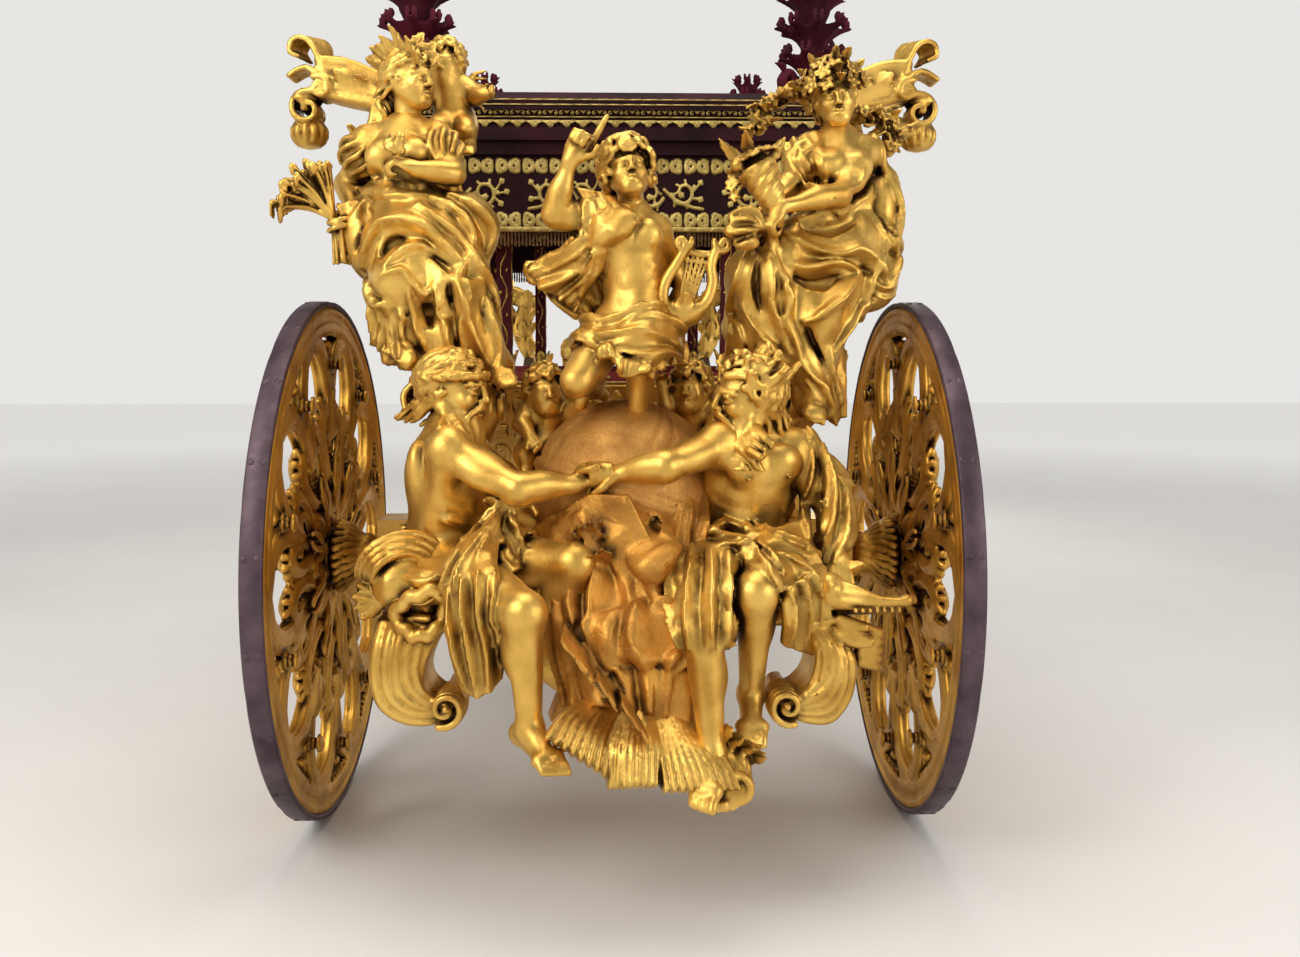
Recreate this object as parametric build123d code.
from build123d import *
import math
import os

# A ceremonial Baroque coach: carved figures at the back, a velvet-roofed body hung on leather straps,
# a single perch, and a fore-carriage that steers. Millimetres, +Z up, +Y towards the front, +X to the right.

# Running gear
WHEELBASE = 3800.0
REAR_WHEEL_RADIUS = 850.0
FRONT_WHEEL_RADIUS = 560.0
WHEEL_PLANE_X = 970.0
TYRE_WIDTH = 62.0
TYRE_THICK = 18.0
TYRE_FIT = 0.2
WEB_THICK = 54.0
RIM_DEPTH = 88.0
REAR_BAYS = 10
FRONT_BAYS = 8
HUB_INNER_LENGTH = 170.0
HUB_OUTER_LENGTH = 170.0
HUB_RADIUS = 108.0
AXLE_RADIUS = 32.0
AXLE_CLEARANCE = 0.4
AXLE_END_CLEARANCE = 0.6
NUT_RADIUS = 50.0
NUT_LENGTH = 46.0

# Beds, perch and fore-carriage
BED_HALF_DEPTH = 85.0
BED_DROP = 120.0
BED_RISE = 130.0
BED_SIDE_GAP = 14.0
PERCH_WIDTH = 130.0
PERCH_BOTTOM_Z = 800.0
PERCH_HEIGHT = 140.0
FRONT_BED_DROP = 60.0
FRONT_BED_RISE = 130.0
PLATE_RADIUS = 330.0
PLATE_BAND = 46.0
PLATE_THICK = 30.0
PLATE_CLEARANCE = 0.3
KING_PIN_RADIUS = 30.0
SOCKET_BORE_RADIUS = 45.0
SOCKET_WALL = 20.0
SOCKET_LENGTH = 420.0
FRONT_REACH = 1073.2
FUTCHELL_THICK = 60.0
SPLINTER_HALF = 640.0
SPLINTER_RADIUS = 32.0

# Rear group board and consoles
BOARD_THICK = 70.0
BOARD_LENGTH = 560.0
BOARD_HALF_WIDTH = 600.0
BOARD_DROP = 90.0
GLOBE_RADIUS = 292.0
GLOBE_CENTRE = (30.0, -392.0, 250.0)
SEAT_FIT = 0.3

# Coach body
FLOOR_Z = 1000.0
FLOOR_THICK = 40.0
WAIST_Z = 1415.0
RAIL_THICK = 40.0
RAIL_WIDTH = 66.0
WALL = 40.0
FLOOR_HALF_WIDTH = 560.0
WAIST_HALF_WIDTH = 700.0
SIDE_BULGE = 42.0
BODY_REAR_Y = -1300.0
BODY_FRONT_Y = 900.0
TUCK_UNDER = 240.0
END_BULGE = 60.0
DOOR_REAR_Y = -420.0
DOOR_FRONT_Y = 180.0
DOOR_GAP = 6.0
HINGE_RADIUS = 12.0
HINGE_X = WAIST_HALF_WIDTH + 8.0 + HINGE_RADIUS + 5.5
HINGE_PIN_RADIUS = 6.0
HINGE_PIN_FIT = 0.05
HINGE_LEAF = 60.0
HINGE_EAR = 10.0
HINGE_ROWS = ((1290.0, 1320.0), (1420.0, 1444.0))  # bottom and top of each knuckle
POST = 56.0
MULLION_X = 430.0
CEILING_Z = 2240.0
CEILING_THICK = 30.0
VALANCE_BOTTOM_Z = 1990.0
VALANCE_THICK = 30.0
ROOF_OVERHANG = 50.0
FRINGE_DROP = 66.0
FRINGE_THICK = 12.0
CORNICE_STEPS = ((50.0, 20.0), (46.0, 40.0), (64.0, 22.0), (40.0, 46.0))  # height, reach past the valance
DOME_START = 0.93  # share of the cornice's plan
DOME_SECTIONS = ((90.0, 0.74), (70.0, 0.44))  # rise, share of the cornice's plan
ROOF_SHELL = 35.0
FINIAL_INSET = 62.0
CUSHION_HALF_WIDTH = 500.0
BENCH_FRONT_Y = -560.0
BENCH_BACK_Y = 300.0
BENCH_HEIGHT = 250.0
CUSHION_THICK = 80.0
CUSHION_DEPTH = 520.0
CUSHION_CORNER = 40.0
STRAP_WIDTH = 70.0
STRAP_THICK = 20.0
STRAP_X = 560.0

# Facets of a carved limb
LIMB_SIDES = 8
LIMB_CAP_STEPS = 2

REAR_AXLE_Y = -WHEELBASE / 2
FRONT_AXLE_Y = WHEELBASE / 2
REAR_ORIGIN = Vector(0, REAR_AXLE_Y, REAR_WHEEL_RADIUS)
BED_TOP_Z = REAR_WHEEL_RADIUS + BED_RISE
BED_HALF = WHEEL_PLANE_X - HUB_INNER_LENGTH - BED_SIDE_GAP
BED_BACK_Y = REAR_AXLE_Y - BED_HALF_DEPTH
BOARD_BOTTOM_Z = REAR_WHEEL_RADIUS - BOARD_DROP
BOARD_TOP_Z = BOARD_BOTTOM_Z + BOARD_THICK


def block(x0, x1, y0, y1, z0, z1):
    """A box between two corners."""
    return Pos((x0 + x1) / 2, (y0 + y1) / 2, (z0 + z1) / 2) * Box(abs(x1 - x0), abs(y1 - y0), abs(z1 - z0))


def cylinder_x(radius, x0, x1, y, z):
    """A cylinder along X."""
    return Pos((x0 + x1) / 2, y, z) * Rot(0, 90, 0) * Cylinder(radius, abs(x1 - x0))


def one(shape):
    """The largest solid of a shape."""
    return max(shape.solids(), key=lambda solid: solid.volume)


def limb(start, end, start_radius, end_radius, sides=LIMB_SIDES):
    """A carved limb: a tapered, round-ended solid with flat facets."""
    start, end = Vector(*start), Vector(*end)
    length = (end - start).length
    lean = math.asin(max(-0.95, min(0.95, (start_radius - end_radius) / length)))
    steps = LIMB_CAP_STEPS

    def cap(radius, along, low, high):
        angles = [low + (high - low) * i / steps for i in range(steps + 1)]
        return [(radius * math.cos(a), along + radius * math.sin(a)) for a in angles]

    profile = cap(start_radius, 0, -math.pi / 2, lean)[1:] + cap(end_radius, length, lean, math.pi / 2)[:-1]
    frame = Plane(origin=start, z_dir=end - start)
    turns = [2 * math.pi * k / sides for k in range(sides)]
    rings = [
        [frame.from_local_coords(Vector(r * math.cos(t), r * math.sin(t), along)) for t in turns]
        for r, along in profile
    ]
    first = frame.from_local_coords(Vector(0, 0, -start_radius))
    last = frame.from_local_coords(Vector(0, 0, length + end_radius))
    faces = []
    for k in range(sides):
        n = (k + 1) % sides
        faces.append([first, rings[0][n], rings[0][k]])
        faces.append([rings[-1][k], rings[-1][n], last])
        for low, high in zip(rings, rings[1:]):
            faces.append([low[k], low[n], high[n], high[k]])
    return Solid(Shell([Face(Wire.make_polygon(corners, close=True)) for corners in faces]))


def carve(joints, bones, origin=REAR_ORIGIN, cutters=()):
    """One solid from a table of named joints and of bones: start, end, start radius, end radius."""
    points = {name: origin + Vector(*place) for name, place in joints.items()}
    limbs = [limb(points[a], points[b], ra, rb) for a, b, ra, rb in bones]
    solid = one(limbs[0].fuse(*limbs[1:]))
    for cutter in cutters:
        solid = one(solid.cut(cutter))
    return solid


def half_turns(x, z, radius, band, turns, start_down=True, shrink=0.62):
    """A scroll in a sketch: half rings of falling radius that join end to end."""
    pieces = []
    side = -1 if start_down else 1
    centre = x
    for k in range(turns):
        outer, inner = radius, max(radius - band, radius * 0.2)
        ring = Circle(outer) - Circle(inner)
        half = Pos(0, side * outer) * Rectangle(2 * outer, 2 * outer)
        pieces.append(Pos(centre, z) * (ring & half))
        smaller = radius * shrink
        centre += (radius - smaller) * (1 if k % 2 else -1)
        radius, band, side = smaller, band * 0.8, -side
    pieces.append(Pos(centre, z) * Circle(radius))
    shape = pieces[0]
    for piece in pieces[1:]:
        shape = shape + piece
    return shape


def upright_extrude(sketch, y, thick):
    """Extrudes a sketch drawn in X and Z to a slab centred on y."""
    return Pos(0, y + thick / 2, 0) * Rot(90, 0, 0) * extrude(sketch, thick)


# Wheels

def wheel_web(radius, bays):
    """The carved openwork of a wheel, in its own plane: felloe, spokes and two rings of scrolls."""
    rim_outer = radius - TYRE_THICK - TYRE_FIT
    rim_inner = rim_outer - RIM_DEPTH
    sketch = Circle(rim_outer) - Circle(rim_inner)
    outer_ring = radius * 0.13
    for k in range(bays):
        angle = 360.0 * k / bays
        middle = angle + 180.0 / bays
        spoke_mid = (HUB_RADIUS * 0.7 + rim_inner + 8) / 2
        spoke_length = rim_inner + 8 - HUB_RADIUS * 0.7
        spoke = Pos(spoke_mid, 0) * Rot(0, 0, 90) * Trapezoid(58, spoke_length, 88.5)
        sketch += Rot(0, 0, angle) * spoke
        reach = rim_inner + 10 - outer_ring
        scroll = Circle(outer_ring) - Circle(outer_ring * 0.66)
        scroll -= Pos(-outer_ring, outer_ring * 0.5) * Rectangle(outer_ring * 1.6, outer_ring * 0.9)
        scroll += Pos(-outer_ring * 0.62, outer_ring * 0.05) * Circle(outer_ring * 0.3)
        sketch += Rot(0, 0, middle) * Pos(reach, 0) * scroll
        inner_reach = (HUB_RADIUS + rim_inner) * 0.5 * 0.86
        inner_ring = inner_reach * math.sin(math.pi / bays) - 8
        sketch += Rot(0, 0, middle) * Pos(inner_reach, 0) * (Circle(inner_ring) - Circle(inner_ring * 0.68))
    return extrude(sketch, WEB_THICK / 2, both=True)


def wheel(radius, bays, side, axle_y):
    """A carved wheel with its turned hub, bored for the axle, on one side of the coach."""
    hub_profile = (
        (-HUB_INNER_LENGTH, 62.0), (-HUB_INNER_LENGTH + 28, 76.0), (-70.0, 84.0), (-44.0, HUB_RADIUS),
        (44.0, HUB_RADIUS), (70.0, 84.0), (HUB_OUTER_LENGTH - 34, 70.0), (HUB_OUTER_LENGTH, 58.0),
    )
    bore = AXLE_RADIUS + AXLE_CLEARANCE
    outline = [(bore, -HUB_INNER_LENGTH)] + [(r, along) for along, r in hub_profile] + [(bore, HUB_OUTER_LENGTH)]
    hub = revolve(Plane.XZ * make_face(Polyline(*outline, close=True)), Axis.Z)
    web = wheel_web(radius, bays) - Cylinder(HUB_RADIUS * 0.8, WEB_THICK * 2)
    turned = one(web + hub)
    place = Pos(side * WHEEL_PLANE_X, axle_y, radius) * Rot(0, 90 * side, 0)
    return place * turned


def tyre(radius, side, axle_y):
    """The iron tyre round a wheel."""
    band = Cylinder(radius, TYRE_WIDTH) - Cylinder(radius - TYRE_THICK, TYRE_WIDTH * 2)
    return Pos(side * WHEEL_PLANE_X, axle_y, radius) * Rot(0, 90, 0) * band


def axle(radius, axle_y):
    """An iron axle with a nut outside each hub."""
    end = WHEEL_PLANE_X + HUB_OUTER_LENGTH + AXLE_END_CLEARANCE
    bar = cylinder_x(AXLE_RADIUS, -end, end, axle_y, radius)
    for side in (-1, 1):
        bar += cylinder_x(NUT_RADIUS, side * end, side * (end + NUT_LENGTH), axle_y, radius)
    return bar


# Running gear

def rear_bed():
    """The rear axle bed, with a curved lower edge, bored for the axle."""
    bed = block(-BED_HALF, BED_HALF, BED_BACK_Y, REAR_AXLE_Y + BED_HALF_DEPTH,
                REAR_WHEEL_RADIUS - BED_DROP, BED_TOP_Z)
    return bed - cylinder_x(AXLE_RADIUS + TYRE_FIT, -BED_HALF, BED_HALF, REAR_AXLE_Y, REAR_WHEEL_RADIUS)


TRANSOM_BOTTOM_Z = FRONT_WHEEL_RADIUS + FRONT_BED_RISE + PLATE_THICK + PLATE_CLEARANCE
TRANSOM_TOP_Z = PERCH_BOTTOM_Z + PERCH_HEIGHT
TRANSOM_HALF = 560.0
TRANSOM_HALF_DEPTH = 80.0


def transom():
    """The fixed front transom with the king pin that the fore-carriage turns on."""
    beam = block(-TRANSOM_HALF, TRANSOM_HALF, FRONT_AXLE_Y - TRANSOM_HALF_DEPTH,
                 FRONT_AXLE_Y + TRANSOM_HALF_DEPTH, TRANSOM_BOTTOM_Z, TRANSOM_TOP_Z)
    pin_bottom = FRONT_WHEEL_RADIUS + AXLE_RADIUS + 18.0
    pin = Pos(0, FRONT_AXLE_Y, (pin_bottom + TRANSOM_BOTTOM_Z) / 2) * Cylinder(
        KING_PIN_RADIUS, TRANSOM_BOTTOM_Z - pin_bottom)
    return beam + pin


def perch():
    """The single beam from the rear bed to the front transom."""
    return block(-PERCH_WIDTH / 2, PERCH_WIDTH / 2, REAR_AXLE_Y + BED_HALF_DEPTH,
                 FRONT_AXLE_Y - TRANSOM_HALF_DEPTH, PERCH_BOTTOM_Z, PERCH_BOTTOM_Z + PERCH_HEIGHT)


FRONT_BED_TOP_Z = FRONT_WHEEL_RADIUS + FRONT_BED_RISE


def front_bed():
    """The front axle bed, bored for the axle and for the king pin."""
    bed = block(-BED_HALF, BED_HALF, FRONT_AXLE_Y - BED_HALF_DEPTH, FRONT_AXLE_Y + BED_HALF_DEPTH,
                FRONT_WHEEL_RADIUS - FRONT_BED_DROP, FRONT_BED_TOP_Z)
    bed -= cylinder_x(AXLE_RADIUS + TYRE_FIT, -BED_HALF, BED_HALF, FRONT_AXLE_Y, FRONT_WHEEL_RADIUS)
    bore_bottom = FRONT_WHEEL_RADIUS + AXLE_RADIUS + 10.0
    bore = Pos(0, FRONT_AXLE_Y, (bore_bottom + FRONT_BED_TOP_Z) / 2) * Cylinder(
        KING_PIN_RADIUS + AXLE_CLEARANCE, FRONT_BED_TOP_Z - bore_bottom)
    return bed - bore


def turning_plate():
    """The ring on the front bed that the transom rests and turns on."""
    ring = Cylinder(PLATE_RADIUS, PLATE_THICK) - Cylinder(PLATE_RADIUS - PLATE_BAND, PLATE_THICK * 2)
    return Pos(0, FRONT_AXLE_Y, FRONT_BED_TOP_Z + PLATE_THICK / 2) * ring


SOCKET_Z = FRONT_WHEEL_RADIUS + 40.0
SOCKET_FRONT_Y = FRONT_AXLE_Y + FRONT_REACH
SOCKET_BACK_Y = SOCKET_FRONT_Y - SOCKET_LENGTH


def futchells():
    """The two arms ahead of the front bed and the round socket that takes the pole."""
    bed_front = FRONT_AXLE_Y + BED_HALF_DEPTH
    outer = SOCKET_BORE_RADIUS + SOCKET_WALL
    tube = Pos(0, (SOCKET_BACK_Y + SOCKET_FRONT_Y) / 2, SOCKET_Z) * Rot(90, 0, 0) * Cylinder(outer, SOCKET_LENGTH)
    shape = tube
    reach = SOCKET_BACK_Y + SOCKET_LENGTH * 0.4
    for side in (-1, 1):
        arm = Polyline((side * 250, bed_front), (side * 330, bed_front), (side * outer, reach),
                       (side * outer * 0.4, reach), close=True)
        shape += Pos(0, 0, SOCKET_Z - FUTCHELL_THICK / 2) * extrude(make_face(arm), FUTCHELL_THICK)
    bore = Pos(0, (SOCKET_BACK_Y + SOCKET_FRONT_Y) / 2, SOCKET_Z) * Rot(90, 0, 0) * Cylinder(
        SOCKET_BORE_RADIUS, SOCKET_LENGTH * 1.2)
    return one(shape - bore)


def splinter_bar(arms):
    """The cross bar over the futchells that the harness traces are hooked to."""
    y = SOCKET_BACK_Y + 60.0
    z = SOCKET_Z + SOCKET_BORE_RADIUS + SOCKET_WALL + SPLINTER_RADIUS + SEAT_FIT
    bar = cylinder_x(SPLINTER_RADIUS, -SPLINTER_HALF, SPLINTER_HALF, y, z)
    for side in (-1, 1):
        bar += cylinder_x(SPLINTER_RADIUS * 1.35, side * (SPLINTER_HALF - 24), side * SPLINTER_HALF, y, z)
    return bar - arms


# Standards that hold the straps

def s_strut(side, foot_x, foot_z, top_x, top_z, width, belly):
    """The outline of an S-shaped upright, in X and Z."""
    mid_x, mid_z = (foot_x + top_x) / 2, (foot_z + top_z) / 2
    rise = (top_z - foot_z) / 4

    def edge(shift):
        low = ThreePointArc((side * (foot_x + shift), foot_z),
                            (side * (foot_x + shift - belly), foot_z + rise), (side * (mid_x + shift * 0.75), mid_z))
        high = ThreePointArc((side * (mid_x + shift * 0.75), mid_z),
                             (side * (top_x + shift * 0.6 + belly * 0.7), top_z - rise),
                             (side * (top_x + shift * 0.5), top_z))
        return low, high

    left, right = edge(-width / 2), edge(width / 2)
    foot = Line(left[0] @ 0, right[0] @ 0)
    top = Line(left[1] @ 1, right[1] @ 1)
    return make_face([*left, *right, foot, top])


def standard(side, axle_y, foot, top, head_reach, thick):
    """An upright with an S curve, a head beam and two scrolls, one curled up and one down."""
    foot_x, foot_z = foot
    top_x, top_z = top
    outline = s_strut(side, foot_x, foot_z, top_x, top_z, 120.0, 70.0)
    end_x = top_x + head_reach
    head = Polyline((side * (top_x - 70), top_z - 60), (side * end_x, top_z - 30), (side * end_x, top_z + 36),
                    (side * (top_x - 70), top_z + 30), close=True)
    upper = half_turns(end_x, top_z + 66, 66, 26, 3, start_down=True)
    lower = half_turns(end_x - 6, top_z - 84, 84, 34, 3, start_down=False)
    if side < 0:
        upper, lower = mirror(upper, Plane.YZ), mirror(lower, Plane.YZ)
    slab = upright_extrude(outline + make_face(head), axle_y, thick)
    scrolls = upright_extrude(upper + lower, axle_y, thick * 1.15)
    drum = Pos(side * end_x, axle_y, top_z - 190) * Cylinder(46, 90)
    return one(slab + scrolls + drum)


REAR_STANDARD_FOOT = (590.0, BED_TOP_Z)
REAR_STANDARD_TOP = (730.0, 2400.0)
FRONT_BOARD_THICK = 40.0
FRONT_BOARD_TOP_Z = TRANSOM_TOP_Z + FRONT_BOARD_THICK
FRONT_STANDARD_FOOT = (430.0, FRONT_BOARD_TOP_Z)
FRONT_STANDARD_TOP = (560.0, 1880.0)
STANDARD_THICK = 96.0
REAR_HEAD_REACH = 270.0
FRONT_HEAD_REACH = 140.0
FRONT_STANDARD_SHIFT = -60.0
REAR_STRAP_LOW = (-1060.0, 985.0)
REAR_STRAP_HIGH = (REAR_AXLE_Y + 30.0, 1660.0)
FRONT_STRAP_LOW = (660.0, 985.0)
FRONT_STRAP_HIGH = (FRONT_AXLE_Y - 90.0, 1500.0)


# Coach body

def shell_outline(half_floor, half_waist, bulge, top_z):
    """A body section between the floor and the waist, with sides bowed outwards."""
    mid = ((half_floor + half_waist) / 2 + bulge, (FLOOR_Z + top_z) / 2)
    right = ThreePointArc((half_floor, FLOOR_Z), mid, (half_waist, top_z))
    left = ThreePointArc((-half_floor, FLOOR_Z), (-mid[0], mid[1]), (-half_waist, top_z))
    return make_face([right, left, Line(left @ 0, right @ 0), Line(left @ 1, right @ 1)])


BODY_MID_Y = (BODY_REAR_Y + BODY_FRONT_Y) / 2
BODY_HALF_LENGTH = (BODY_FRONT_Y - BODY_REAR_Y) / 2


def tub(inset):
    """The solid of the lower body: the side section and the end section, crossed."""
    side = shell_outline(FLOOR_HALF_WIDTH - inset, WAIST_HALF_WIDTH - inset, SIDE_BULGE, WAIST_Z)
    end = shell_outline(BODY_HALF_LENGTH - TUCK_UNDER - inset, BODY_HALF_LENGTH - inset, END_BULGE, WAIST_Z)
    along = upright_extrude(side, BODY_MID_Y, BODY_HALF_LENGTH * 2.2)
    across = Pos(0, BODY_MID_Y, 0) * Rot(0, 0, 90) * upright_extrude(end, 0, WAIST_HALF_WIDTH * 2.2)
    return along & across


CORNER_REAR_Y = BODY_REAR_Y + TUCK_UNDER + WALL
CORNER_FRONT_Y = BODY_FRONT_Y - TUCK_UNDER - WALL
BIG = 4000.0


def body_panels():
    """The floor, and the walls split at the corners and at the doors."""
    outer, inner = tub(0), tub(WALL)
    floor_slab = block(-BIG, BIG, -BIG, BIG, FLOOR_Z, FLOOR_Z + FLOOR_THICK)
    walls = outer - inner - floor_slab
    pieces = {"body_floor": one(outer & floor_slab)}
    spans = {
        "body_rear_panel": (-BIG, CORNER_REAR_Y, None),
        "body_front_panel": (CORNER_FRONT_Y, BIG, None),
        "side_rear": (CORNER_REAR_Y, DOOR_REAR_Y, (-1, 1)),
        "side_front": (DOOR_FRONT_Y, CORNER_FRONT_Y, (-1, 1)),
        "door": (DOOR_REAR_Y + DOOR_GAP, DOOR_FRONT_Y - DOOR_GAP, (-1, 1)),
    }
    for name, (y0, y1, sides) in spans.items():
        if sides is None:
            pieces[name] = one(walls & block(-BIG, BIG, y0, y1, 0, BIG))
            continue
        for side in sides:
            lift = DOOR_GAP if name == "door" else 0
            part = walls & block(0, side * BIG, y0, y1, FLOOR_Z + FLOOR_THICK + lift, BIG)
            pieces[f"{name}_{'left' if side < 0 else 'right'}"] = one(part)
    return pieces


def waist_rail(y0, y1, side):
    """A length of the velvet-covered rail on top of a side wall."""
    outer = WAIST_HALF_WIDTH + 8
    return block(side * (outer - RAIL_WIDTH), side * outer, y0, y1, WAIST_Z, WAIST_Z + RAIL_THICK)


def rails():
    """The waist rail: two U-shaped lengths that stop at the doors."""
    lengths = []
    for end_y, door_y, sign in ((BODY_REAR_Y, DOOR_REAR_Y, -1), (BODY_FRONT_Y, DOOR_FRONT_Y, 1)):
        outer_y = end_y + sign * 8
        across = block(-WAIST_HALF_WIDTH - 8, WAIST_HALF_WIDTH + 8, outer_y, outer_y - sign * RAIL_WIDTH,
                       WAIST_Z, WAIST_Z + RAIL_THICK)
        lengths.append(across + waist_rail(door_y, outer_y, -1) + waist_rail(door_y, outer_y, 1))
    return lengths


RAIL_TOP_Z = WAIST_Z + RAIL_THICK
POST_X = WAIST_HALF_WIDTH + 8 - RAIL_WIDTH / 2
POST_REAR_Y = BODY_REAR_Y - 8 + RAIL_WIDTH / 2
POST_FRONT_Y = BODY_FRONT_Y + 8 - RAIL_WIDTH / 2
POST_ROWS = (
    (POST_X, POST_REAR_Y), (POST_X, DOOR_REAR_Y - POST / 2 - 4), (POST_X, DOOR_FRONT_Y + POST / 2 + 4),
    (POST_X, POST_FRONT_Y), (MULLION_X, POST_REAR_Y), (MULLION_X, POST_FRONT_Y),
)


def posts():
    """The posts that carry the roof, each a separate solid."""
    return [
        block(side * x - POST / 2, side * x + POST / 2, y - POST / 2, y + POST / 2, RAIL_TOP_Z, CEILING_Z)
        for x, y in POST_ROWS for side in (-1, 1)
    ]


ROOF_HALF_X = WAIST_HALF_WIDTH + 8 + ROOF_OVERHANG
ROOF_REAR_Y = BODY_REAR_Y - 8 - ROOF_OVERHANG
ROOF_FRONT_Y = BODY_FRONT_Y + 8 + ROOF_OVERHANG
ROOF_MID_Y = (ROOF_REAR_Y + ROOF_FRONT_Y) / 2
ROOF_HALF_Y = (ROOF_FRONT_Y - ROOF_REAR_Y) / 2


def band(z0, z1, inner_x, inner_y, thick):
    """Four boards round the roof, mitred by butting the long ones between the short ones."""
    joint = SEAT_FIT
    boards = []
    for side in (-1, 1):
        boards.append(block(side * inner_x, side * (inner_x + thick), ROOF_MID_Y - inner_y + joint,
                            ROOF_MID_Y + inner_y - joint, z0, z1))
        boards.append(block(-inner_x - thick, inner_x + thick, ROOF_MID_Y + side * inner_y,
                            ROOF_MID_Y + side * (inner_y + thick), z0, z1))
    return boards


CORNICE_TOP_Z = CEILING_Z + CEILING_THICK + sum(height for height, _ in CORNICE_STEPS)
CORNICE_REACH = CORNICE_STEPS[-1][1]
COVE_X = POST_X - POST / 2 - SEAT_FIT
COVE_Y = (POST_FRONT_Y - POST_REAR_Y - POST) / 2 - SEAT_FIT


def crown(half_x, half_y, z):
    """The low swept crown of the roof, lofted through shrinking rectangles."""
    share = DOME_START
    stages = []
    for rise, smaller in DOME_SECTIONS:
        low = Pos(0, ROOF_MID_Y, z) * Rectangle(2 * half_x * share, 2 * half_y * share)
        high = Pos(0, ROOF_MID_Y, z + rise) * Rectangle(2 * half_x * smaller, 2 * half_y * smaller)
        stages.append(loft([low, high], ruled=True))
        z += rise
        share = smaller
    return stages[0].fuse(*stages[1:])


def door_knuckle(side, z0, z1):
    """The door's part of a hinge: a knuckle bored for the pin, and a leaf on the door."""
    x = side * HINGE_X
    leaf = block(side * (WAIST_HALF_WIDTH - 14), x, DOOR_FRONT_Y - HINGE_LEAF, DOOR_FRONT_Y, z0, z1)
    knuckle = Pos(x, DOOR_FRONT_Y, (z0 + z1) / 2) * Cylinder(HINGE_RADIUS, z1 - z0)
    bore = Pos(x, DOOR_FRONT_Y, (z0 + z1) / 2) * Cylinder(HINGE_PIN_RADIUS + HINGE_PIN_FIT, z1 - z0)
    return leaf + knuckle - bore


def body_hinge(side, z0, z1, cutters):
    """The body's part of a hinge: a pin, an ear above and below the knuckle, and a leaf."""
    x = side * HINGE_X
    low, high = z0 - SEAT_FIT - HINGE_EAR, z1 + SEAT_FIT + HINGE_EAR
    shape = Pos(x, DOOR_FRONT_Y, (low + high) / 2) * Cylinder(HINGE_PIN_RADIUS, high - low)
    leaf_y = DOOR_FRONT_Y + HINGE_RADIUS + 3
    shape += block(side * (WAIST_HALF_WIDTH - 14), x, leaf_y, leaf_y + HINGE_LEAF, low, high)
    for bottom in (low, high - HINGE_EAR):
        shape += Pos(x, DOOR_FRONT_Y, bottom + HINGE_EAR / 2) * Cylinder(HINGE_RADIUS, HINGE_EAR)
        shape += block(x - side * 8, x, DOOR_FRONT_Y, leaf_y + 1, bottom, bottom + HINGE_EAR)
    for cutter in cutters:
        shape -= cutter
    return one(shape)


def roof():
    """The roof: a ring over the posts, the stepped cornice and the crown, coved inside."""
    inner_x, inner_y = ROOF_HALF_X - VALANCE_THICK, ROOF_HALF_Y - VALANCE_THICK
    shape = Pos(0, ROOF_MID_Y, CEILING_Z + CEILING_THICK / 2) * Box(
        2 * inner_x - 2 * SEAT_FIT, 2 * inner_y - 2 * SEAT_FIT, CEILING_THICK)
    z = CEILING_Z + CEILING_THICK
    for height, reach in CORNICE_STEPS:
        shape += Pos(0, ROOF_MID_Y, z + height / 2) * Box(
            2 * (ROOF_HALF_X + reach), 2 * (ROOF_HALF_Y + reach), height)
        z += height
    shape += crown(ROOF_HALF_X + CORNICE_REACH, ROOF_HALF_Y + CORNICE_REACH, CORNICE_TOP_Z)
    shape -= block(-COVE_X, COVE_X, ROOF_MID_Y - COVE_Y, ROOF_MID_Y + COVE_Y, CEILING_Z, CORNICE_TOP_Z)
    shape -= crown(COVE_X, COVE_Y, CORNICE_TOP_Z - ROOF_SHELL)
    return one(shape)


def finials(roof_solid):
    """A turned finial with four curled leaves on each corner of the cornice."""
    profile = (
        (0, 0), (70, 0), (70, 26), (36, 52), (30, 96), (62, 132), (62, 160), (30, 190),
        (44, 262), (92, 340), (100, 400), (74, 470), (40, 540), (22, 600), (0, 640),
    )
    turned = revolve(Plane.XZ * make_face(Polyline(*profile, close=True)), Axis.Z)
    leaves = []
    for k in range(4):
        turn = math.radians(45 + 90 * k)
        c, s = math.cos(turn), math.sin(turn)
        leaves.append(limb((30 * c, 30 * s, 150), (128 * c, 128 * s, 190), 26, 22))
        leaves.append(limb((128 * c, 128 * s, 190), (118 * c, 118 * s, 236), 22, 12))
    model = one(turned.fuse(*leaves))
    placed = []
    for sx in (-1, 1):
        for sy in (-1, 1):
            x = sx * (ROOF_HALF_X + CORNICE_REACH - FINIAL_INSET)
            y = ROOF_MID_Y + sy * (ROOF_HALF_Y + CORNICE_REACH - FINIAL_INSET)
            placed.append(one((Pos(x, y, CORNICE_TOP_Z) * model) - roof_solid))
    return placed


def bench(edge_y, sign):
    """A bench that fills the end of the body up to its edge, and the cushion on it."""
    z0 = FLOOR_Z + FLOOR_THICK
    z1 = z0 + BENCH_HEIGHT
    seat = one(tub(WALL) & block(-BIG, BIG, edge_y, sign * BIG, z0, z1))
    pad = block(-CUSHION_HALF_WIDTH, CUSHION_HALF_WIDTH, edge_y, edge_y + sign * CUSHION_DEPTH,
                z1, z1 + CUSHION_THICK)
    return seat, fillet(pad.edges().filter_by(Axis.Z), CUSHION_CORNER)


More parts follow.
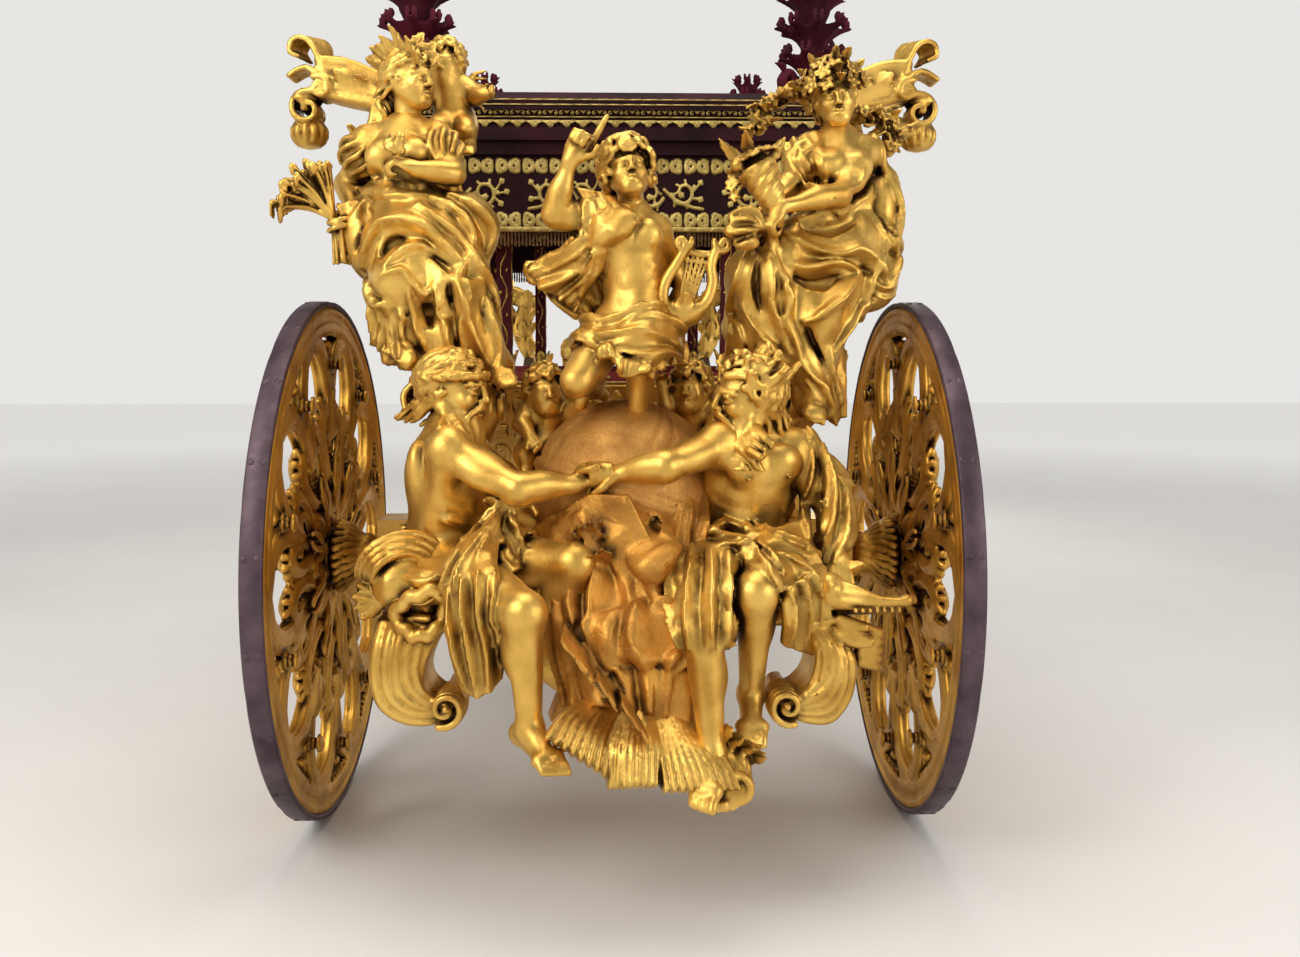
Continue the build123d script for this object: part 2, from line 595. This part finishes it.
def strap(side, low, high, cutters):
    """A taut leather strap between a body iron and a standard, in the plane of the strap."""
    (y0, z0), (y1, z1) = low, high
    length = math.hypot(y1 - y0, z1 - z0)
    tilt = math.degrees(math.atan2(z1 - z0, y1 - y0))
    piece = Pos(side * STRAP_X, (y0 + y1) / 2, (z0 + z1) / 2) * Rot(tilt, 0, 0) * Box(
        STRAP_WIDTH, length, STRAP_THICK)
    for cutter in cutters:
        piece -= cutter
    return one(piece)


# Rear group: joint tables are in millimetres from the centre of the rear axle, x right, y forward, z up

def torso(waist=92, chest=112, neck=52, head=74):
    """The bones that every figure has, as start, end, start radius, end radius."""
    return [
        ("pelvis", "waist", waist * 1.12, waist), ("waist", "chest", waist, chest),
        ("chest", "neck", chest * 0.72, neck), ("neck", "head", neck, head), ("head", "crown", head * 1.05, head),
        ("r_shoulder", "l_shoulder", 68, 68),
    ]


def arm(side, upper=50, elbow=40, wrist=27, hand=34):
    """The bones of an arm that ends in a closed hand."""
    return [
        (f"{side}_shoulder", f"{side}_elbow", upper, elbow), (f"{side}_elbow", f"{side}_wrist", elbow, wrist),
        (f"{side}_wrist", f"{side}_hand", wrist, hand),
    ]


def leg(side, hip=88, knee=56, ankle=32, toe=24):
    """The bones of a bare leg and foot."""
    return [
        (f"{side}_hip", f"{side}_knee", hip, knee), (f"{side}_knee", f"{side}_ankle", knee * 0.95, ankle),
        (f"{side}_ankle", f"{side}_toe", ankle * 1.15, toe),
    ]


SEATED_LEFT = {
    "pelvis": (-505, -490, 75), "waist": (-500, -500, 170), "chest": (-490, -530, 330),
    "neck": (-490, -525, 470), "head": (-470, -525, 575), "crown": (-458, -530, 622),
    "r_shoulder": (-480, -660, 405), "l_shoulder": (-470, -400, 410),
    "r_elbow": (-268, -740, 305), "r_wrist": (-105, -668, 312), "r_hand": (-62, -640, 326),
    "l_elbow": (-350, -330, 300), "l_wrist": (-300, -430, 200), "l_hand": (-270, -450, 170),
    "r_hip": (-480, -590, 55), "l_hip": (-470, -420, 60),
    "r_knee": (-240, -930, 5), "r_ankle": (-228, -915, -305), "r_toe": (-158, -1020, -358),
    "l_knee": (-115, -720, 98), "l_ankle": (-185, -668, -193), "l_toe": (-92, -756, -258),
    "beard": (-395, -560, 480), "cloth_top": (-430, -700, 150), "cloth_low": (-400, -740, -190),
    "cloth_back": (-560, -540, -40), "lap_knee": (-330, -690, 70),
}
SEATED_RIGHT = {
    "pelvis": (399, -480, 70), "waist": (378, -505, 165), "chest": (400, -540, 330),
    "neck": (405, -555, 455), "head": (380, -585, 555), "crown": (380, -592, 612),
    "r_shoulder": (300, -610, 415), "l_shoulder": (520, -540, 380),
    "r_elbow": (135, -715, 365), "r_wrist": (15, -670, 345), "r_hand": (-20, -650, 335),
    "l_elbow": (636, -550, 206), "l_wrist": (618, -645, 124), "l_hand": (622, -680, 70),
    "r_hip": (320, -540, 40), "l_hip": (465, -520, 50),
    "r_knee": (229, -890, -66), "r_ankle": (252, -940, -372), "r_toe": (216, -1050, -436),
    "l_knee": (376, -850, 40), "l_ankle": (375, -740, -268), "l_toe": (367, -822, -328),
    "beard": (352, -650, 440), "cloth_left": (262, -640, 60), "cloth_low": (230, -560, -140),
    "cloth_shoulder": (600, -500, 330), "cloth_wrist": (560, -520, 110), "lap_knee": (400, -700, 60),
}
STANDING_LEFT = {
    "pelvis": (-593, -240, 1050), "waist": (-618, -240, 1160), "chest": (-650, -250, 1290),
    "neck": (-650, -235, 1412), "head": (-625, -248, 1508), "crown": (-628, -250, 1556),
    "r_shoulder": (-765, -240, 1335), "l_shoulder": (-545, -262, 1340),
    "r_elbow": (-846, -190, 1205), "r_wrist": (-815, -260, 1130), "r_hand": (-806, -300, 1108),
    "l_elbow": (-502, -345, 1214), "l_wrist": (-600, -395, 1224), "l_hand": (-645, -400, 1236),
    "r_hip": (-660, -270, 1030), "l_hip": (-540, -260, 1040),
    "r_knee": (-685, -390, 915), "l_knee": (-455, -420, 835), "r_hem": (-600, -330, 680),
    "l_hem": (-400, -370, 660), "mid_hem": (-500, -350, 640), "l_toe": (-345, -420, 610),
    "back_hem": (-520, -200, 720), "lap": (-560, -370, 985), "cloak_top": (-560, -150, 1290),
    "cloak_low": (-430, -200, 960),
}
STANDING_RIGHT = {
    "pelvis": (700, -240, 1040), "waist": (704, -240, 1142), "chest": (694, -250, 1270),
    "neck": (696, -230, 1388), "head": (682, -248, 1484), "crown": (680, -250, 1534),
    "r_shoulder": (588, -262, 1322), "l_shoulder": (796, -228, 1322),
    "l_elbow": (655, -400, 1135), "l_wrist": (485, -486, 1092), "l_hand": (440, -500, 1062),
    "r_elbow": (530, -320, 1190), "r_wrist": (470, -400, 1150), "r_hand": (450, -430, 1150),
    "r_hip": (640, -290, 1030), "l_hip": (750, -262, 1020),
    "r_knee": (425, -455, 940), "l_knee": (612, -392, 780), "r_hem": (445, -400, 700),
    "mid_hem": (560, -370, 640), "l_hem": (650, -330, 560), "l_ankle": (602, -372, 560),
    "l_toe": (582, -450, 524), "back_hem": (620, -220, 640), "lap": (580, -400, 960),
    "cloak_top": (840, -180, 1240), "cloak_low": (860, -220, 900),
}
YOUTH = {
    "pelvis": (55, -400, 790), "waist": (78, -412, 880), "chest": (60, -415, 985),
    "neck": (50, -402, 1095), "head": (47, -425, 1192), "crown": (45, -424, 1250),
    "r_shoulder": (-35, -402, 1055), "l_shoulder": (130, -388, 1040),
    "r_elbow": (-172, -456, 1082), "r_wrist": (-112, -498, 1240), "r_hand": (-88, -508, 1290),
    "finger": (-55, -520, 1346), "l_elbow": (196, -330, 940), "l_wrist": (196, -400, 880),
    "l_hand": (196, -420, 862), "r_hip": (5, -420, 770), "l_hip": (100, -410, 770),
    "r_knee": (-112, -560, 610), "r_ankle": (-70, -330, 590), "r_toe": (-60, -260, 600),
    "l_knee": (98, -520, 700), "l_ankle": (72, -540, 500), "l_toe": (70, -620, 440),
    "wing": (-255, -340, 915), "wing_low": (-120, -320, 800), "sash": (-60, -330, 1000),
    "sash_left": (-20, -480, 780), "sash_right": (150, -450, 800),
}
PUTTO_LEFT = {
    "pelvis": (-228, -270, 405), "chest": (-222, -290, 480), "head": (-220, -310, 555),
    "l_hand": (-118, -390, 512), "r_hand": (-262, -380, 430), "l_foot": (-180, -380, 360),
    "r_foot": (-270, -370, 350),
}
PUTTO_RIGHT = {
    "pelvis": (252, -260, 400), "chest": (240, -285, 485), "head": (232, -310, 566),
    "r_hand": (150, -330, 556), "l_hand": (300, -370, 450), "r_foot": (205, -375, 360),
    "l_foot": (290, -370, 350),
}
PUTTO_UPPER = {
    "pelvis": (-520, -60, 1420), "chest": (-530, -70, 1500), "head": (-545, -75, 1600),
    "l_hand": (-425, -110, 1500), "r_hand": (-640, -60, 1480), "l_foot": (-470, -120, 1350),
    "r_foot": (-560, -150, 1370),
}
PUTTO_BONES = [
    ("pelvis", "chest", 52, 50), ("chest", "head", 40, 52), ("chest", "l_hand", 26, 18),
    ("chest", "r_hand", 26, 18), ("pelvis", "l_foot", 36, 22), ("pelvis", "r_foot", 36, 22),
]


def consoles(cutters):
    """The two carved consoles that the standing figures are set on."""
    made = []
    for side, top_x in ((-1, 430), (1, 590)):
        joints = {
            "foot": (side * 420, -30, 190), "belly": (side * 470, -150, 330), "neck": (side * top_x, -230, 500),
            "leaf": (side * (top_x - 20), -330, 560), "back": (side * 650, -70, 760),
            "seat": (side * 620, -150, 960),
        }
        bones = [
            ("foot", "belly", 92, 96), ("belly", "neck", 96, 74), ("neck", "leaf", 74, 46),
            ("neck", "back", 70, 60), ("back", "seat", 60, 66),
        ]
        made.append(carve(joints, bones, cutters=cutters))
    return made


ROCK_SIDES = 9
ROCK_JAG = 0.18
SEA_CREATURES = (  # side, eye, snout, middle of the scroll, its reach
    (-1, (-631, -700, 36), (-530, -750, -20), (-535, -700, -191), 150),
    (1, (589, -700, -2), (770, -750, -18), (518, -700, -270), 142),
)


def prism(rows, sides, jag=0.0, origin=REAR_ORIGIN):
    """A faceted mass from rows of z, centre x, centre y, half width, half depth."""
    rings = []
    for level, (z, x, y, half_x, half_y) in enumerate(rows):
        ring = []
        for k in range(sides):
            angle = 2 * math.pi * k / sides
            reach = 1 + jag * math.sin(2.4 * k + 1.7 * level)
            ring.append(origin + Vector(
                x + half_x * reach * math.cos(angle), y + half_y * reach * math.sin(angle), z))
        rings.append(ring)
    faces = [rings[0][::-1], rings[-1]]
    for low, high in zip(rings, rings[1:]):
        for k in range(sides):
            n = (k + 1) % sides
            faces.append([low[k], low[n], high[n]])
            faces.append([low[k], high[n], high[k]])
    return Solid(Shell([Face(Wire.make_polygon(corners, close=True)) for corners in faces]))


ROCK_ROWS = (
    (-330, 10, -760, 70, 60), (-250, 20, -740, 150, 130), (-120, 30, -740, 220, 170), (-20, 20, -700, 240, 190),
    (120, 30, -680, 200, 150), (230, 50, -640, 130, 90),
)
SHELL_RIBS = (
    ("tip_1", (-120, -890, -350)), ("tip_2", (-40, -930, -440)), ("tip_3", (50, -960, -500)),
    ("tip_4", (140, -970, -480)), ("tip_5", (215, -965, -420)),
)
SHELL_ROOT = (20, -790, -255)


def shell(cutters):
    """The ribbed scallop shell under the rocks."""
    joints = {"root": SHELL_ROOT, **dict(SHELL_RIBS)}
    bones = [("root", name, 44, 24) for name, _ in SHELL_RIBS]
    bones += [(a, b, 22, 22) for (a, _), (b, _) in zip(SHELL_RIBS, SHELL_RIBS[1:])]
    return carve(joints, bones, cutters=cutters)


def spiral(centre, start, reach, fall, steps, y_drift=0.0):
    """Joints of a scroll that winds inwards about a centre, in X and Z."""
    joints = []
    for k in range(steps):
        angle = math.radians(start[0] + start[1] * k)
        r = reach * fall ** k
        joints.append((centre[0] + r * math.cos(angle), centre[1] + y_drift * k, centre[2] + r * math.sin(angle)))
    return joints


def sea_creature(side, eye, snout, volute, reach, cutters):
    """A sea creature: an open-mouthed head on the corner of the board and a tail that curls in a scroll."""
    ex, ey, ez = eye
    sx, sy, sz = snout
    joints = {
        "back": (side * 540, -560, -70), "skull": (ex, ey + 30, ez - 14), "upper": (sx, sy, sz + 26),
        "jaw_root": (ex - side * 10, ey + 20, ez - 66), "lower": (sx - side * 20, sy, sz - 54),
    }
    bones = [
        ("back", "skull", 92, 76), ("skull", "upper", 64, 30), ("back", "jaw_root", 90, 54),
        ("jaw_root", "lower", 48, 24),
    ]
    begin = (110, 52) if side < 0 else (70, -52)
    coil = spiral(volute, begin, reach, 0.8, 8)
    radius = 58.0
    previous = "back"
    for k, place in enumerate(coil):
        joints[f"coil_{k}"] = place
        bones.append((previous, f"coil_{k}", radius, radius * 0.88))
        radius *= 0.88
        previous = f"coil_{k}"
    return carve(joints, bones, cutters=cutters)


def lyre(cutters):
    """The lyre: a sound box, two horns, a cross bar and four strings."""
    joints = {
        "base": (188, -465, 775), "left_mid": (176, -460, 900), "left_top": (214, -455, 1006),
        "right_mid": (290, -450, 880), "right_top": (320, -445, 996), "left_curl": (185, -455, 1020),
        "right_curl": (352, -445, 1004),
    }
    bones = [
        ("base", "left_mid", 34, 20), ("left_mid", "left_top", 20, 15), ("left_top", "left_curl", 15, 20),
        ("base", "right_mid", 34, 20), ("right_mid", "right_top", 20, 15), ("right_top", "right_curl", 15, 20),
        ("left_top", "right_top", 12, 12),
    ]
    return carve(joints, bones, cutters=cutters)


def sheaf(cutters):
    """The sheaf of wheat, tied in the middle."""
    joints = {"tie": (-820, -330, 1052), "stalks": (-822, -320, 954)}
    bones = [("tie", "stalks", 42, 62)]
    for k, (x, y, z) in enumerate(((-930, -380, 1150), (-915, -400, 1215), (-880, -350, 1255), (-945, -350, 1190))):
        joints[f"ear_{k}"] = (x, y, z)
        bones.append(("tie", f"ear_{k}", 38, 34))
    return carve(joints, bones, cutters=cutters)


def cornucopia(cutters):
    """The horn of flowers: a curved horn that widens to a mouth filled with blooms."""
    joints = {
        "tip": (520, -470, 950), "bend": (476, -500, 1040), "body": (450, -490, 1130), "mouth": (408, -455, 1215),
        "bloom_1": (350, -440, 1262), "bloom_2": (430, -430, 1290), "bloom_3": (470, -440, 1240),
        "bloom_4": (380, -480, 1305), "hang": (300, -430, 1180),
    }
    bones = [
        ("tip", "bend", 18, 38), ("bend", "body", 38, 58), ("body", "mouth", 58, 78),
        ("mouth", "bloom_1", 70, 44), ("mouth", "bloom_2", 70, 48), ("mouth", "bloom_3", 66, 40),
        ("bloom_2", "bloom_4", 44, 40), ("bloom_1", "hang", 40, 24),
    ]
    return carve(joints, bones, cutters=cutters)


def garland(cutters):
    """The garland of flowers behind the head of the right standing figure."""
    path = (
        (590, -150, 1500), (560, -160, 1590), (620, -150, 1660), (720, -140, 1670), (800, -120, 1620),
        (850, -110, 1530), (800, -70, 1440),
    )
    joints = {f"flower_{k}": place for k, place in enumerate(path)}
    names = list(joints)
    bones = [(a, b, 46, 50) for a, b in zip(names, names[1:])]
    return carve(joints, bones, cutters=cutters)


FRONT_FIGURE = {
    "pelvis": (300, -60, 150), "waist": (300, -70, 250), "chest": (296, -80, 380), "neck": (290, -80, 500),
    "head": (285, -90, 590), "crown": (285, -90, 640), "r_shoulder": (190, -90, 425), "l_shoulder": (400, -80, 425),
    "r_elbow": (130, 20, 320), "r_wrist": (120, 150, 330), "r_hand": (110, 190, 340),
    "l_elbow": (440, 30, 300), "l_wrist": (400, 160, 290), "l_hand": (390, 200, 290),
    "r_hip": (230, -20, 130), "l_hip": (370, -20, 130), "r_knee": (210, 270, 130), "r_ankle": (210, 300, 60),
    "r_toe": (205, 330, 40), "l_knee": (390, 270, 130), "l_ankle": (390, 300, 60), "l_toe": (395, 330, 40),
    "lap": (300, 200, 150), "hem": (300, 285, 70), "beard": (285, -20, 490),
}
FRONT_BOARD_BACK = 260.0
FRONT_BOARD_FRONT = 300.0
FRONT_FIGURE_Y = FRONT_AXLE_Y - 60.0
FRONT_FIGURE_DROP = 45.0  # how far the seat sinks below the joint table


def front_board():
    """The board over the transom that carries the front figures."""
    return block(-TRANSOM_HALF, TRANSOM_HALF, FRONT_AXLE_Y - FRONT_BOARD_BACK, FRONT_AXLE_Y + FRONT_BOARD_FRONT,
                 TRANSOM_TOP_Z, FRONT_BOARD_TOP_Z)


# Assembly

def body_bones():
    """Every bone of a bare figure."""
    return torso() + arm("r") + arm("l") + leg("r") + leg("l")


def running_gear():
    """The fixed running gear, by node."""
    arms = {}
    arms["rear_axle_bed"] = rear_bed()
    arms["rear_axle"] = axle(REAR_WHEEL_RADIUS, REAR_AXLE_Y)
    arms["perch"] = perch()
    arms["front_transom"] = transom()
    arms["front_board"] = front_board()
    arms["rear_standards"] = [
        standard(side, REAR_AXLE_Y, REAR_STANDARD_FOOT, REAR_STANDARD_TOP, REAR_HEAD_REACH, STANDARD_THICK)
        for side in (-1, 1)
    ]
    arms["front_standards"] = [
        standard(side, FRONT_AXLE_Y + FRONT_STANDARD_SHIFT, FRONT_STANDARD_FOOT, FRONT_STANDARD_TOP,
                 FRONT_HEAD_REACH, STANDARD_THICK)
        for side in (-1, 1)
    ]
    return arms


def coach_body():
    """The hollow body with its roof, seats and doors, by node."""
    panels = body_panels()
    nodes = {name: panels[name] for name in ("body_floor", "body_rear_panel", "body_front_panel")}
    nodes["side_panels"] = [panels[f"{part}_{side}"] for part in ("side_rear", "side_front")
                            for side in ("left", "right")]
    nodes["waist_rails"] = rails()
    nodes["roof_posts"] = posts()
    nodes["roof"] = roof()
    nodes["valance"] = band(VALANCE_BOTTOM_Z, CEILING_Z + CEILING_THICK, ROOF_HALF_X - VALANCE_THICK,
                            ROOF_HALF_Y - VALANCE_THICK, VALANCE_THICK)
    nodes["fringe"] = band(VALANCE_BOTTOM_Z - FRINGE_DROP, VALANCE_BOTTOM_Z, ROOF_HALF_X - FRINGE_THICK,
                           ROOF_HALF_Y - FRINGE_THICK, FRINGE_THICK)
    nodes["finials"] = finials(nodes["roof"])
    benches = [bench(BENCH_FRONT_Y, -1), bench(BENCH_BACK_Y, 1)]
    nodes["benches"] = [seat for seat, _ in benches]
    nodes["cushions"] = [pad for _, pad in benches]
    hinges = []
    for side, name in ((-1, "left"), (1, "right")):
        door = panels[f"door_{name}"] + waist_rail(DOOR_REAR_Y + DOOR_GAP, DOOR_FRONT_Y - DOOR_GAP, side)
        for z0, z1 in HINGE_ROWS:
            door += door_knuckle(side, z0, z1)
            hinges.append(body_hinge(side, z0, z1, (panels[f"side_front_{name}"], *nodes["waist_rails"])))
        nodes[f"door_{name}"] = one(door)
    nodes["door_hinges"] = hinges
    return nodes


def suspension(gear):
    """The four leather straps, cut to meet the body and the standards."""
    body = tub(0)
    rear = [gear["rear_standards"][k] for k in (0, 1)]
    front = [gear["front_standards"][k] for k in (0, 1)]
    made = []
    for k, side in enumerate((-1, 1)):
        made.append(strap(side, REAR_STRAP_LOW, REAR_STRAP_HIGH, (body, rear[k])))
        made.append(strap(side, FRONT_STRAP_LOW, FRONT_STRAP_HIGH, (body, front[k])))
    return made


def rear_group(gear):
    """The carved group behind the body, by node, each piece cut to sit on the ones before it."""
    nodes = {}
    bed = gear["rear_axle_bed"]
    left_standard, right_standard = gear["rear_standards"]
    board = block(-BOARD_HALF_WIDTH, BOARD_HALF_WIDTH, BED_BACK_Y - BOARD_LENGTH, BED_BACK_Y,
                  BOARD_BOTTOM_Z, BOARD_TOP_Z)
    nodes["group_board"] = board
    globe = Pos(REAR_ORIGIN + Vector(*GLOBE_CENTRE)) * Sphere(GLOBE_RADIUS)
    globe = one(globe - board - bed)
    nodes["globe"] = globe
    rocks = one(prism(ROCK_ROWS, ROCK_SIDES, ROCK_JAG) - board - globe)
    nodes["rockwork"] = rocks
    nodes["scallop_shell"] = shell((rocks,))
    beasts = []
    for side, eye, snout, volute, reach in SEA_CREATURES:
        beasts.append(sea_creature(side, eye, snout, volute, reach, (board, rocks)))
    nodes["sea_creatures"] = beasts
    seat_cutters = (board, globe, rocks, nodes["scallop_shell"], *beasts)
    beard = [("head", "beard", 62, 30)]
    left_cloth = [
        ("waist", "cloth_top", 92, 70), ("cloth_top", "lap_knee", 70, 70), ("cloth_top", "cloth_low", 74, 38),
        ("lap_knee", "r_knee", 70, 58),
    ]
    nodes["seated_figure_left"] = carve(SEATED_LEFT, body_bones() + beard + left_cloth, cutters=seat_cutters)
    right_cloth = [
        ("waist", "cloth_left", 84, 64), ("cloth_left", "cloth_low", 64, 44), ("pelvis", "lap_knee", 90, 72),
        ("lap_knee", "l_knee", 72, 58), ("l_shoulder", "cloth_shoulder", 56, 52),
        ("cloth_shoulder", "cloth_wrist", 52, 46),
    ]
    nodes["seated_figure_right"] = carve(SEATED_RIGHT, body_bones() + beard + right_cloth,
                                         cutters=(*seat_cutters, nodes["seated_figure_left"]))
    nodes["consoles"] = consoles((bed, board, globe, left_standard, right_standard))
    youth_drape = [
        ("pelvis", "perch", 98, 96), ("sash_left", "sash_right", 62, 62), ("sash", "wing", 46, 62),
        ("wing", "wing_low", 58, 50), ("wing_low", "sash_left", 50, 56), ("r_shoulder", "sash", 52, 50),
        ("r_wrist", "finger", 24, 9),
    ]
    youth_joints = {**YOUTH, "perch": (45, -400, 600)}
    nodes["youth"] = carve(youth_joints, body_bones() + youth_drape, cutters=(globe,))
    nodes["lyre"] = lyre((nodes["youth"],))
    drape_left = [
        ("lap", "r_knee", 96, 74), ("lap", "l_knee", 96, 76), ("pelvis", "lap", 106, 96),
        ("r_knee", "r_hem", 80, 74), ("l_knee", "mid_hem", 80, 70), ("l_knee", "l_hem", 72, 56),
        ("l_hem", "l_toe", 34, 24), ("r_hem", "back_hem", 66, 70), ("pelvis", "back_hem", 96, 74),
        ("cloak_top", "cloak_low", 66, 70),
    ]
    stand_cutters = (*nodes["consoles"], left_standard, right_standard)
    upper = torso() + arm("r") + arm("l")
    nodes["standing_figure_left"] = carve(STANDING_LEFT, upper + drape_left, cutters=stand_cutters)
    drape_right = [
        ("lap", "r_knee", 96, 76), ("lap", "l_knee", 96, 78), ("pelvis", "lap", 106, 96),
        ("r_knee", "r_hem", 82, 66), ("l_knee", "mid_hem", 82, 66), ("l_knee", "l_hem", 76, 58),
        ("l_hem", "l_ankle", 54, 34), ("l_ankle", "l_toe", 36, 24), ("pelvis", "back_hem", 96, 70),
        ("l_shoulder", "cloak_top", 60, 60), ("cloak_top", "cloak_low", 62, 56),
    ]
    nodes["standing_figure_right"] = carve(STANDING_RIGHT, upper + drape_right, cutters=stand_cutters)
    nodes["wheat_sheaf"] = sheaf((nodes["standing_figure_left"],))
    nodes["cornucopia"] = cornucopia((nodes["standing_figure_right"],))
    nodes["garland"] = garland((nodes["standing_figure_right"], right_standard))
    putto_cutters = (globe, nodes["youth"], *nodes["consoles"], nodes["seated_figure_right"],
                     nodes["seated_figure_left"], nodes["standing_figure_left"], left_standard)
    nodes["putti"] = [carve(joints, PUTTO_BONES, cutters=putto_cutters)
                      for joints in (PUTTO_LEFT, PUTTO_RIGHT, PUTTO_UPPER)]
    return nodes


def front_group(gear):
    """The two seated figures behind the coachman's place."""
    origin = Vector(0, FRONT_FIGURE_Y, FRONT_BOARD_TOP_Z)
    lap = [("pelvis", "lap", 96, 74), ("lap", "hem", 74, 52), ("head", "beard", 60, 30)]
    made = []
    for side in (-1, 1):
        joints = {name: (side * x, y, z - FRONT_FIGURE_DROP) for name, (x, y, z) in FRONT_FIGURE.items()}
        made.append(carve(joints, body_bones() + lap, origin, (gear["front_board"], *gear["front_standards"])))
    return {"front_figures": made}


def fore_carriage():
    """The steered fore-carriage without its wheels, by node."""
    nodes = {"front_axle_bed": front_bed(), "front_axle": axle(FRONT_WHEEL_RADIUS, FRONT_AXLE_Y)}
    nodes["turning_plate"] = turning_plate()
    nodes["pole_socket"] = futchells()
    nodes["splinter_bar"] = splinter_bar(nodes["pole_socket"])
    return nodes


def wheels():
    """The four wheels and their tyres, by node."""
    nodes = {}
    for end, radius, bays, axle_y in (("rear", REAR_WHEEL_RADIUS, REAR_BAYS, REAR_AXLE_Y),
                                      ("front", FRONT_WHEEL_RADIUS, FRONT_BAYS, FRONT_AXLE_Y)):
        for side, name in ((-1, "left"), (1, "right")):
            nodes[f"wheel_{end}_{name}"] = wheel(radius, bays, side, axle_y)
            nodes[f"tyre_{end}_{name}"] = tyre(radius, side, axle_y)
    return nodes


def build():
    """Every node of the coach, by name."""
    gear = running_gear()
    nodes = dict(gear)
    nodes.update(coach_body())
    nodes["straps"] = suspension(gear)
    nodes.update(rear_group(gear))
    nodes.update(front_group(gear))
    nodes.update(fore_carriage())
    nodes.update(wheels())
    return nodes


def export(nodes):
    """One file for each node."""
    os.makedirs("parts", exist_ok=True)
    for name, shape in nodes.items():
        if isinstance(shape, list):
            shape = Compound(children=shape) if len(shape) > 1 else shape[0]
        export_step(shape, f"parts/{name}.step")


export(build())
